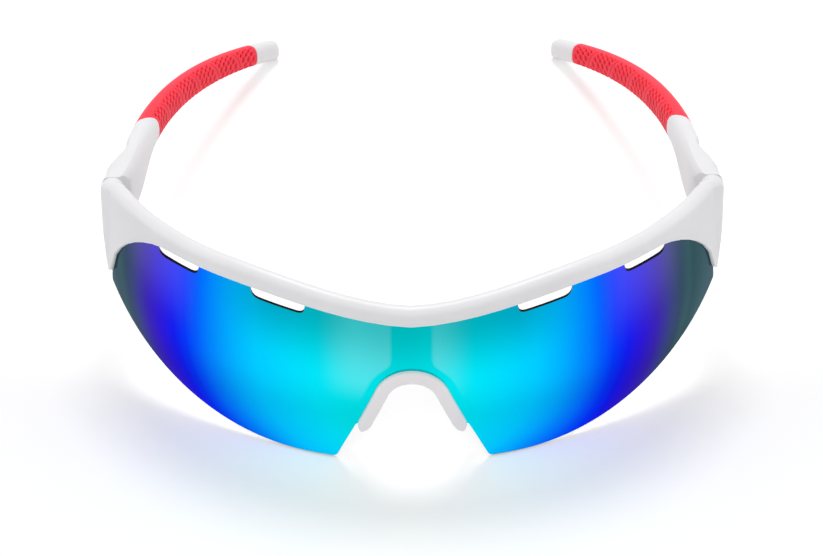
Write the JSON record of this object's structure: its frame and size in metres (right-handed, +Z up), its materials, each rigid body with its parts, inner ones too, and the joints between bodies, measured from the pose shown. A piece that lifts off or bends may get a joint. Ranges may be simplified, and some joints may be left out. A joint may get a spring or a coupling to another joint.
{
  "type": "cycling sunglasses",
  "caption": "Wraparound cycling sunglasses: one mirrored shield lens under a half-rim brow frame, rubber nose pad, folding temples with ribbed rubber grips.",
  "frame": {"origin": "middle of the object's box, on the surface that it stands on", "axes": "+Z up from the table, +X to the wearer's left, +Y from the lens back along the temples; the glasses stand unfolded on the lens's two lobes and the two temple tips"},
  "size_m": [0.145, 0.164, 0.0477],
  "materials": {
    "frame_plastic": "satin gloss white moulded nylon",
    "mirror_lens": "polycarbonate with a mirror coating that runs from cyan at the middle through blue and violet to dark green at the ends",
    "pad_rubber": "smooth satin pale grey rubber",
    "grip_rubber": "satin coral red rubber with moulded grooves",
    "screw_steel": "turned steel",
    "hinge_brass": "turned brass"
  },
  "bodies": {
    "front": {"front_frame": "frame_plastic", "shield_lens": "mirror_lens", "nose_pad": "pad_rubber", "hinge_screw_left": "screw_steel", "hinge_screw_right": "screw_steel", "hinge_insert_left": "hinge_brass", "hinge_insert_right": "hinge_brass"},
    "left_temple": {"temple_left": "frame_plastic", "temple_grip_left": "grip_rubber", "hinge_bush_left": "hinge_brass"},
    "right_temple": {"temple_right": "frame_plastic", "temple_grip_right": "grip_rubber", "hinge_bush_right": "hinge_brass"}
  },
  "joints": [
    {"name": "left_fold", "type": "hinge", "parent": "front", "child": "left_temple", "pos_m": [0.06877, -0.03466, 0.0387], "axis": [0, 0.0645, 0.9979], "range_deg": [0, 78]},
    {"name": "right_fold", "type": "hinge", "parent": "front", "child": "right_temple", "pos_m": [-0.06877, -0.03466, 0.0387], "axis": [0, -0.0645, -0.9979], "range_deg": [0, 85]}
  ]
}
